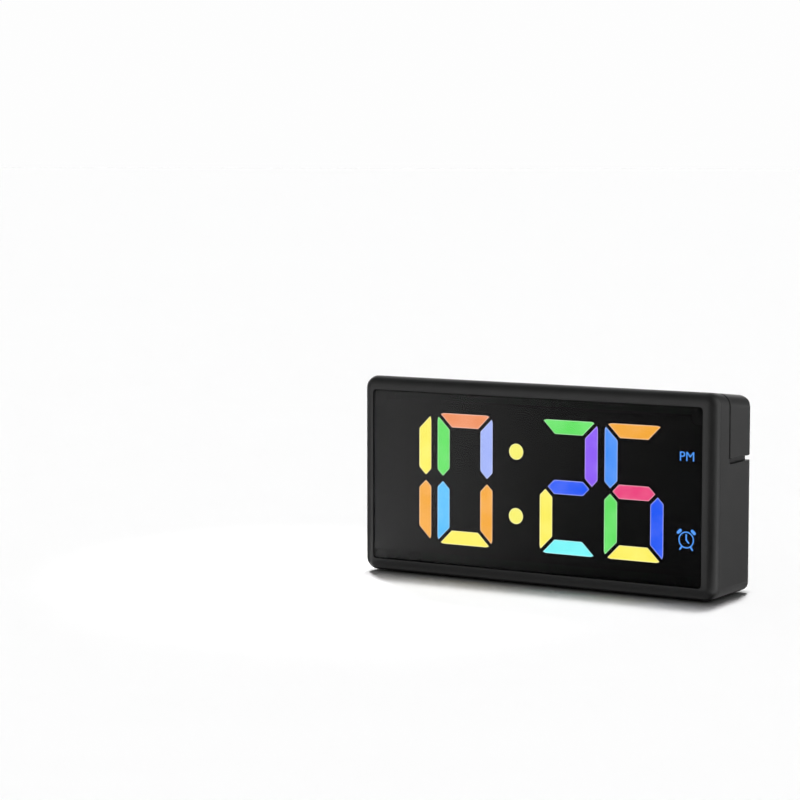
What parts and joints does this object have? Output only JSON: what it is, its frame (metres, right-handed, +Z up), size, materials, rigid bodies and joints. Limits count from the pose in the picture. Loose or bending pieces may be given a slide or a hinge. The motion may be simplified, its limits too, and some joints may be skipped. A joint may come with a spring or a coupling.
{
  "type": "digital alarm clock",
  "caption": "Free-standing digital clock with a smoked display window, coloured seven-bar digits, rear set buttons and a full-width snooze bar on top.",
  "frame": {"origin": "middle of the footprint, on the surface that the feet rest on", "axes": "+Z up, -Y out of the display's front, +X to the right as seen from the front"},
  "size_m": [0.158, 0.0332, 0.0806],
  "materials": {
    "case_black": "fine matt grain",
    "cover_black": "fine matt grain",
    "button_black": "satin",
    "smoked_window": "satin, smoked",
    "adhesive": "matt",
    "light_block": "matt",
    "warm_segments": "lit, translucent",
    "mixed_segments": "lit, translucent",
    "pale_dots": "lit, translucent",
    "cool_segments": "lit, translucent",
    "bright_segments": "lit, translucent",
    "status_blue": "lit, translucent",
    "circuit_board": "satin",
    "led_body": "satin",
    "connector": "satin",
    "screw_steel": "plated",
    "spring_steel": "drawn wire",
    "socket_metal": "plated",
    "contact_strip": "plated",
    "cell_steel": "plated",
    "foot_rubber": "matt"
  },
  "bodies": {
    "clock": {"front_bezel": "case_black", "front_lens": "smoked_window", "lens_tape": "adhesive", "display_block": "light_block", "hour_tens_segments": "warm_segments", "hour_units_segments": "mixed_segments", "colon_dots": "pale_dots", "minute_tens_segments": "cool_segments", "minute_units_segments": "bright_segments", "status_windows": "status_blue", "display_board": "circuit_board", "display_leds": "led_body", "display_screws": "screw_steel", "header_pins": "connector", "header_socket": "connector", "main_board": "circuit_board", "controller_chip": "connector", "tact_switches": "connector", "snooze_switch": "connector", "buzzer": "connector", "power_socket": "socket_metal", "cell_contacts": "contact_strip", "backup_cell": "cell_steel", "board_screws": "screw_steel", "rear_housing": "case_black", "rubber_feet": "foot_rubber", "case_screws": "screw_steel"},
    "snooze": {"snooze_bar": "case_black", "snooze_springs": "spring_steel"},
    "cover": {"battery_cover": "cover_black"},
    "time_key": {"time_button": "button_black"},
    "alarm_key": {"alarm_button": "button_black"},
    "plus_key": {"plus_button": "button_black"},
    "minus_key": {"minus_button": "button_black"},
    "dimmer_key": {"dimmer_button": "button_black"}
  },
  "joints": [
    {"name": "snooze_press", "type": "slide", "parent": "clock", "child": "snooze", "axis": [0, 0, -1], "range_m": [0, 0.0012], "stiffness_N_per_m": 400, "springref_m": -0.003, "deforming": ["snooze_springs"]},
    {"name": "time_press", "type": "slide", "parent": "clock", "child": "time_key", "axis": [0, -1, 0], "range_m": [0, 0.0005], "stiffness_N_per_m": 600, "springref_m": -0.0005},
    {"name": "alarm_press", "type": "slide", "parent": "clock", "child": "alarm_key", "axis": [0, -1, 0], "range_m": [0, 0.0005], "stiffness_N_per_m": 600, "springref_m": -0.0005},
    {"name": "plus_press", "type": "slide", "parent": "clock", "child": "plus_key", "axis": [0, -1, 0], "range_m": [0, 0.0005], "stiffness_N_per_m": 600, "springref_m": -0.0005},
    {"name": "minus_press", "type": "slide", "parent": "clock", "child": "minus_key", "axis": [0, -1, 0], "range_m": [0, 0.0005], "stiffness_N_per_m": 600, "springref_m": -0.0005},
    {"name": "dimmer_press", "type": "slide", "parent": "clock", "child": "dimmer_key", "axis": [0, -1, 0], "range_m": [0, 0.0005], "stiffness_N_per_m": 600, "springref_m": -0.0005},
    {"name": "cover_twist", "type": "hinge", "parent": "clock", "child": "cover", "pos_m": [0, 0.01605, 0.0186], "axis": [0, 1, 0], "range_deg": [0, 45]}
  ]
}
